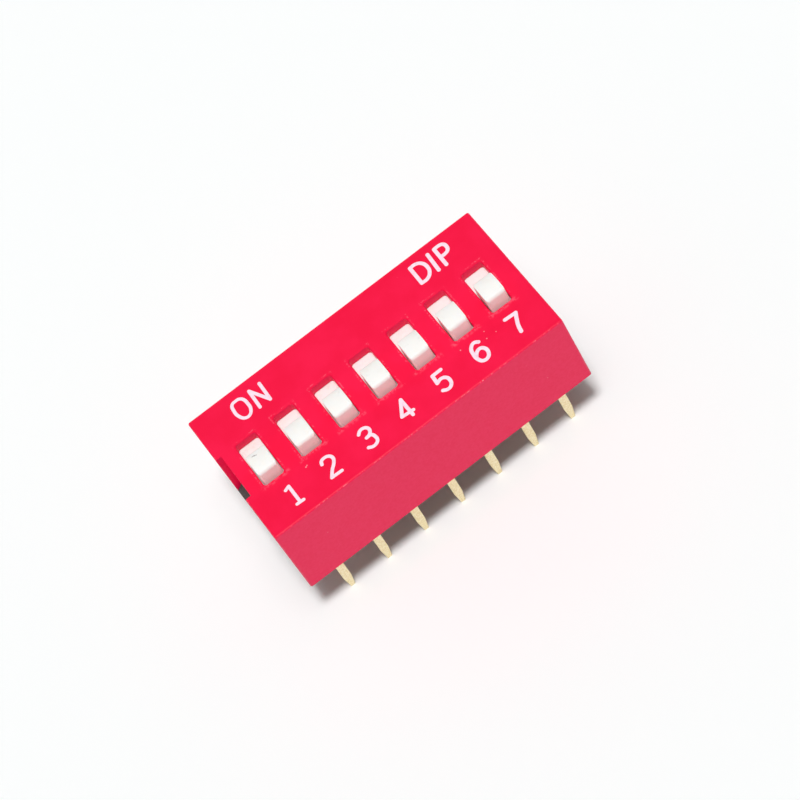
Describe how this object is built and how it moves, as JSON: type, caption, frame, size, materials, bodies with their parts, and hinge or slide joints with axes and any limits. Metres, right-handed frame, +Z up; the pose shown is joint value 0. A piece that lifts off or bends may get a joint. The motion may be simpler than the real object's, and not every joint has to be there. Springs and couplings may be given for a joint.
{
  "type": "dip switch",
  "caption": "Slide-type DIP switch: red moulded cover, white sliders in a row of slots, and straight pins in rows for a circuit board.",
  "frame": {"origin": "middle of the pin pattern on the seating plane, where the cover's rim meets the board", "axes": "+X along the positions from 1 to 7, +Y towards the ON side, +Z up out of the board"},
  "size_m": [0.019, 0.0094, 0.0105],
  "materials": {
    "cover_red": "fine satin",
    "base_black": "moulded",
    "slider_white": "satin",
    "contact_gold": "bright plating",
    "pin_gold": "pale gold plating, slightly rough"
  },
  "bodies": {
    "housing": {"cover": "cover_red", "base": "base_black", "front_terminal_1": "pin_gold", "front_terminal_2": "pin_gold", "front_terminal_3": "pin_gold", "front_terminal_4": "pin_gold", "front_terminal_5": "pin_gold", "front_terminal_6": "pin_gold", "front_terminal_7": "pin_gold", "rear_terminal_1": "pin_gold", "rear_terminal_2": "pin_gold", "rear_terminal_3": "pin_gold", "rear_terminal_4": "pin_gold", "rear_terminal_5": "pin_gold", "rear_terminal_6": "pin_gold", "rear_terminal_7": "pin_gold"},
    "actuator_1": {"slider_1": "slider_white", "contact_1": "contact_gold"},
    "actuator_2": {"slider_2": "slider_white", "contact_2": "contact_gold"},
    "actuator_3": {"slider_3": "slider_white", "contact_3": "contact_gold"},
    "actuator_4": {"slider_4": "slider_white", "contact_4": "contact_gold"},
    "actuator_5": {"slider_5": "slider_white", "contact_5": "contact_gold"},
    "actuator_6": {"slider_6": "slider_white", "contact_6": "contact_gold"},
    "actuator_7": {"slider_7": "slider_white", "contact_7": "contact_gold"}
  },
  "joints": [
    {"name": "slide_1", "type": "slide", "parent": "housing", "child": "actuator_1", "axis": [0, 1, 0], "range_m": [0, 0.00135]},
    {"name": "slide_2", "type": "slide", "parent": "housing", "child": "actuator_2", "axis": [0, 1, 0], "range_m": [0, 0.00135]},
    {"name": "slide_3", "type": "slide", "parent": "housing", "child": "actuator_3", "axis": [0, 1, 0], "range_m": [0, 0.00135]},
    {"name": "slide_4", "type": "slide", "parent": "housing", "child": "actuator_4", "axis": [0, 1, 0], "range_m": [0, 0.00135]},
    {"name": "slide_5", "type": "slide", "parent": "housing", "child": "actuator_5", "axis": [0, 1, 0], "range_m": [0, 0.00135]},
    {"name": "slide_6", "type": "slide", "parent": "housing", "child": "actuator_6", "axis": [0, 1, 0], "range_m": [0, 0.00135]},
    {"name": "slide_7", "type": "slide", "parent": "housing", "child": "actuator_7", "axis": [0, 1, 0], "range_m": [0, 0.00135]}
  ]
}
